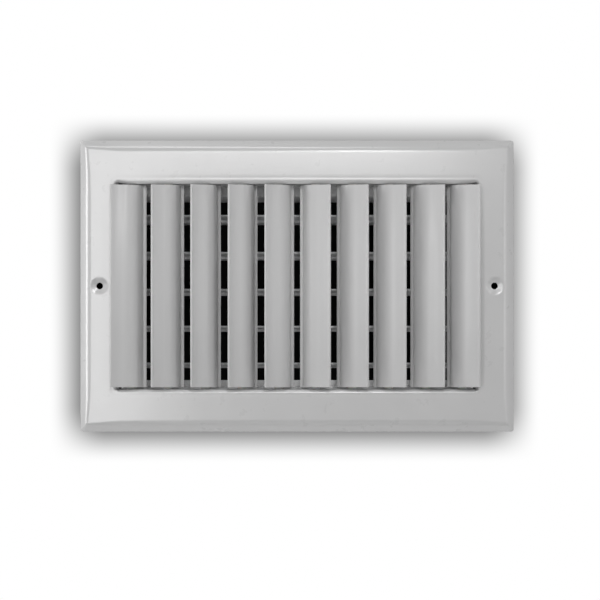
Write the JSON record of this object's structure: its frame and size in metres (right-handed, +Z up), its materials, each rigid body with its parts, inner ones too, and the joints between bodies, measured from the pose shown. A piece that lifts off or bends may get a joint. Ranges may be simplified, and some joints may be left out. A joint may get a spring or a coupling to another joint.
{
  "type": "louvred air register",
  "caption": "Wall or ceiling air register: bevelled face frame, upright curved louvres that turn one by one in two mirrored sets, and a linked multi-blade damper behind them.",
  "frame": {"origin": "midway between the two screw holes, at the front of their seats", "axes": "+X to the right seen from the room, +Y into the duct, +Z up"},
  "size_m": [0.2986, 0.0721, 0.2006],
  "materials": {
    "white_paint": "semi-gloss baked enamel",
    "louvre_paint": "semi-gloss baked enamel",
    "galvanised": "galvanised sheet",
    "blade_steel": "galvanised sheet",
    "plated_steel": "zinc plated",
    "steel": "drawn wire",
    "rivet_aluminium": "satin",
    "nylon": "natural nylon"
  },
  "bodies": {
    "register": {"face_frame": "white_paint", "upper_louvre_bushings": "nylon", "lower_louvre_bushings": "nylon", "top_channel": "galvanised", "bottom_channel": "galvanised", "left_side_plate": "galvanised", "right_side_plate": "galvanised", "frame_rivets": "rivet_aluminium", "channel_rivets": "rivet_aluminium"},
    "louvre_01": {"louvre_01": "louvre_paint", "louvre_01_pins": "steel"},
    "louvre_02": {"louvre_02": "louvre_paint", "louvre_02_pins": "steel"},
    "louvre_03": {"louvre_03": "louvre_paint", "louvre_03_pins": "steel"},
    "louvre_04": {"louvre_04": "louvre_paint", "louvre_04_pins": "steel"},
    "louvre_05": {"louvre_05": "louvre_paint", "louvre_05_pins": "steel"},
    "louvre_06": {"louvre_06": "louvre_paint", "louvre_06_pins": "steel"},
    "louvre_07": {"louvre_07": "louvre_paint", "louvre_07_pins": "steel"},
    "louvre_08": {"louvre_08": "louvre_paint", "louvre_08_pins": "steel"},
    "louvre_09": {"louvre_09": "louvre_paint", "louvre_09_pins": "steel"},
    "louvre_10": {"louvre_10": "louvre_paint", "louvre_10_pins": "steel"},
    "damper_blade_1": {"damper_blade_1": "blade_steel", "damper_blade_1_rod": "steel", "damper_blade_1_crank_pin": "steel"},
    "damper_blade_2": {"damper_blade_2": "blade_steel", "damper_blade_2_rod": "steel", "damper_blade_2_crank_pin": "steel"},
    "damper_blade_3": {"damper_blade_3": "blade_steel", "damper_blade_3_rod": "steel", "damper_blade_3_crank_pin": "steel", "damper_lever": "plated_steel"},
    "damper_blade_4": {"damper_blade_4": "blade_steel", "damper_blade_4_rod": "steel", "damper_blade_4_crank_pin": "steel"},
    "damper_blade_5": {"damper_blade_5": "blade_steel", "damper_blade_5_rod": "steel", "damper_blade_5_crank_pin": "steel"},
    "link_bar": {"link_bar": "plated_steel"}
  },
  "joints": [
    {"name": "louvre_01_turn", "type": "hinge", "parent": "register", "child": "louvre_01", "pos_m": [-0.1143, 0.0085, 0], "axis": [0, 0, 1], "range_deg": [-11.2, 48.8]},
    {"name": "louvre_02_turn", "type": "hinge", "parent": "register", "child": "louvre_02", "pos_m": [-0.0889, 0.0085, 0], "axis": [0, 0, 1], "range_deg": [-21.6, 38.4]},
    {"name": "louvre_03_turn", "type": "hinge", "parent": "register", "child": "louvre_03", "pos_m": [-0.0635, 0.0085, 0], "axis": [0, 0, 1], "range_deg": [-26.4, 33.6]},
    {"name": "louvre_04_turn", "type": "hinge", "parent": "register", "child": "louvre_04", "pos_m": [-0.0381, 0.0085, 0], "axis": [0, 0, 1], "range_deg": [-25.6, 34.4]},
    {"name": "louvre_05_turn", "type": "hinge", "parent": "register", "child": "louvre_05", "pos_m": [-0.0127, 0.0085, 0], "axis": [0, 0, 1], "range_deg": [-23.5, 36.5]},
    {"name": "louvre_06_turn", "type": "hinge", "parent": "register", "child": "louvre_06", "pos_m": [0.0127, 0.0085, 0], "axis": [0, 0, -1], "range_deg": [-20, 40]},
    {"name": "louvre_07_turn", "type": "hinge", "parent": "register", "child": "louvre_07", "pos_m": [0.0381, 0.0085, 0], "axis": [0, 0, -1], "range_deg": [-19, 41]},
    {"name": "louvre_08_turn", "type": "hinge", "parent": "register", "child": "louvre_08", "pos_m": [0.0635, 0.0085, 0], "axis": [0, 0, -1], "range_deg": [-18.7, 41.3]},
    {"name": "louvre_09_turn", "type": "hinge", "parent": "register", "child": "louvre_09", "pos_m": [0.0889, 0.0085, 0], "axis": [0, 0, -1], "range_deg": [-15.9, 44.1]},
    {"name": "louvre_10_turn", "type": "hinge", "parent": "register", "child": "louvre_10", "pos_m": [0.1143, 0.0085, 0], "axis": [0, 0, -1], "range_deg": [-21.3, 38.7]},
    {"name": "damper_blade_1_turn", "type": "hinge", "parent": "register", "child": "damper_blade_1", "pos_m": [0, 0.0434, 0.04854], "axis": [-1, 0, 0], "range_deg": [-7, 73]},
    {"name": "damper_blade_2_turn", "type": "hinge", "parent": "register", "child": "damper_blade_2", "pos_m": [0, 0.0434, 0.02204], "axis": [-1, 0, 0], "range_deg": [-7, 73]},
    {"name": "damper_turn", "type": "hinge", "parent": "register", "child": "damper_blade_3", "pos_m": [0, 0.0434, -0.00446], "axis": [-1, 0, 0], "range_deg": [-7, 73]},
    {"name": "damper_blade_4_turn", "type": "hinge", "parent": "register", "child": "damper_blade_4", "pos_m": [0, 0.0434, -0.03096], "axis": [-1, 0, 0], "range_deg": [-7, 73]},
    {"name": "damper_blade_5_turn", "type": "hinge", "parent": "register", "child": "damper_blade_5", "pos_m": [0, 0.0434, -0.05746], "axis": [-1, 0, 0], "range_deg": [-7, 73]},
    {"name": "link_swing", "type": "hinge", "parent": "damper_blade_3", "child": "link_bar", "pos_m": [0.1167, 0.05514, 0.00316], "axis": [-1, 0, 0], "range_deg": [-73, 7]}
  ],
  "couplings": [
    {"joint": "damper_blade_1_turn", "follows": "damper_turn", "ratio": 1},
    {"joint": "damper_blade_2_turn", "follows": "damper_turn", "ratio": 1},
    {"joint": "damper_blade_4_turn", "follows": "damper_turn", "ratio": 1},
    {"joint": "damper_blade_5_turn", "follows": "damper_turn", "ratio": 1},
    {"joint": "link_swing", "follows": "damper_turn", "ratio": -1}
  ]
}
